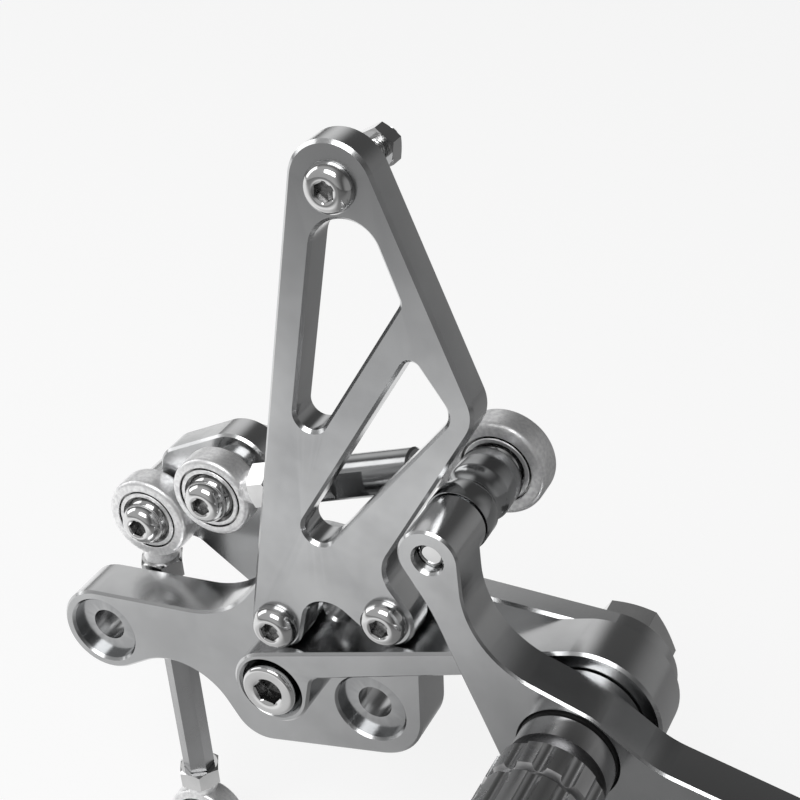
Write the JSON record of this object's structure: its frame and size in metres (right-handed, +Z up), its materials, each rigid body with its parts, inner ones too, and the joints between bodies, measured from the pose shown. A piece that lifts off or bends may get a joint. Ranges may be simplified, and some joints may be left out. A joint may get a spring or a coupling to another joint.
{
  "type": "motorcycle rear set footrest",
  "caption": "Machined motorcycle rear set: hanger plate with heel guard, foot peg, foot lever with toe peg, and a rod linkage through a bell crank to a drop rod.",
  "frame": {"origin": "axis of the rear frame bolt on the hanger's inner face", "axes": "+X forward, +Y inward to the motorcycle's frame, +Z up"},
  "size_m": [0.2332, 0.159, 0.2251],
  "materials": {
    "anodised_grey": "satin anodised grey",
    "machined_aluminium": "turned, satin",
    "stainless": "polished",
    "zinc_plated": "bright zinc plating",
    "bearing_steel": "ground",
    "bush_polymer": "black bearing polymer",
    "peg_aluminium": "grooved, satin anodised"
  },
  "bodies": {
    "frame_side": {"hanger_plate": "anodised_grey", "peg_plate": "anodised_grey", "heel_guard": "anodised_grey", "guard_spacer_rear": "machined_aluminium", "guard_spacer_front": "machined_aluminium", "guard_screw_rear": "stainless", "guard_screw_front": "stainless", "apex_screw": "stainless", "apex_nut": "stainless", "peg_plate_screw": "stainless", "pivot_spindle": "bearing_steel", "pivot_washer": "stainless", "pivot_nut": "stainless", "foot_peg": "peg_aluminium", "peg_end_cap": "peg_aluminium", "peg_bolt": "stainless", "crank_post": "bearing_steel", "crank_washer": "stainless", "crank_screw": "stainless"},
    "lever": {"foot_lever": "anodised_grey", "lever_bush_outer": "bush_polymer", "lever_bush_inner": "bush_polymer", "lever_spacer": "machined_aluminium", "link_bolt": "stainless", "link_ball_front": "bearing_steel", "toe_peg": "peg_aluminium", "toe_peg_screw": "stainless"},
    "link": {"link_rod_end_front": "zinc_plated", "link_rod_end_rear": "zinc_plated", "link_lock_nut": "stainless", "link_barrel": "machined_aluminium"},
    "crank": {"bell_crank": "anodised_grey", "crank_bush": "bush_polymer", "rear_link_spacer": "machined_aluminium", "link_ball_rear": "bearing_steel", "rear_link_screw": "stainless", "rear_link_nut": "stainless", "drop_ball_upper": "bearing_steel", "drop_link_screw": "stainless", "drop_link_nut": "stainless"},
    "drop": {"drop_rod_end_upper": "zinc_plated", "drop_lock_nut_upper": "stainless", "drop_rod": "machined_aluminium", "drop_lock_nut_lower": "stainless", "drop_rod_end_lower": "zinc_plated", "drop_ball_lower": "bearing_steel"}
  },
  "joints": [
    {"name": "lever_pivot", "type": "hinge", "parent": "frame_side", "child": "lever", "pos_m": [0.127, -0.0305, 0.0307], "axis": [0, 1, 0], "range_deg": [0, 9]},
    {"name": "crank_pivot", "type": "hinge", "parent": "frame_side", "child": "crank", "pos_m": [0.041, 0.0142, 0.012], "axis": [0, 1, 0], "range_deg": [0, 13.3]},
    {"name": "link_swing", "type": "hinge", "parent": "lever", "child": "link", "pos_m": [0.0966, 0.0015, 0.0682], "axis": [0, 1, 0], "range_deg": [-10.5, 0]},
    {"name": "drop_swing", "type": "hinge", "parent": "crank", "child": "drop", "pos_m": [0.00555, 0.0057, 0.0253], "axis": [0, 1, 0], "range_deg": [-13.3, 0]}
  ],
  "couplings": [
    {"joint": "crank_pivot", "follows": "lever_pivot", "ratio": 1.4712},
    {"joint": "link_swing", "follows": "lever_pivot", "ratio": -1.153},
    {"joint": "drop_swing", "follows": "lever_pivot", "ratio": -1.4712}
  ]
}
